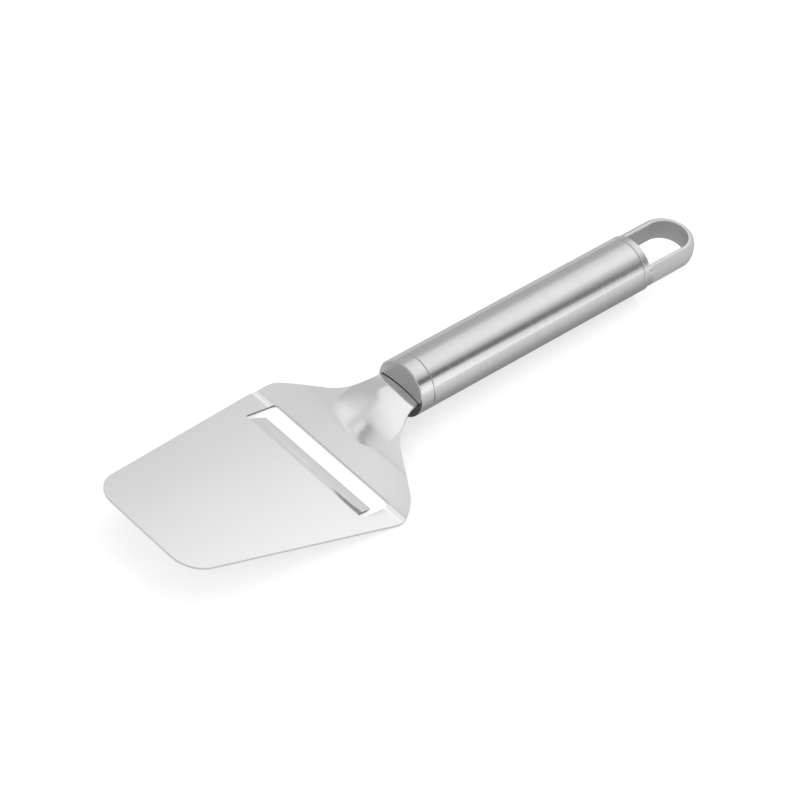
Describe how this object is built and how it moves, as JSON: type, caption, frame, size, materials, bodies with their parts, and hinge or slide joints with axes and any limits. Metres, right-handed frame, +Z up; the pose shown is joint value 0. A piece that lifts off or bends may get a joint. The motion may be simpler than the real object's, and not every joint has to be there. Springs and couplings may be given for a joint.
{
  "type": "cheese slicer",
  "caption": "Cheese slicer with a flat flared steel blade, a cross slot with a bent cutting lip, a ridged neck and a round tubular handle that ends in a hang loop.",
  "frame": {"origin": "on the ground under the middle of the slicer, as it lies on the heel of its blade and the rear ring of its handle", "axes": "+X along the handle from the blade's tip to the hang loop, +Y across the blade, +Z up"},
  "size_m": [0.2392, 0.071, 0.0236],
  "materials": {
    "blade_steel": "fine polished sheet",
    "ferrule_steel": "satin, brushed round the axis",
    "pin_steel": "plain",
    "tube_steel": "satin, brushed round the axis",
    "loop_steel": "satin, blasted"
  },
  "bodies": {
    "root": {"slicing_blade": "blade_steel", "front_ferrule": "ferrule_steel", "tang_pins": "pin_steel", "handle_tube": "tube_steel", "hang_loop_cap": "loop_steel"}
  },
  "joints": []
}
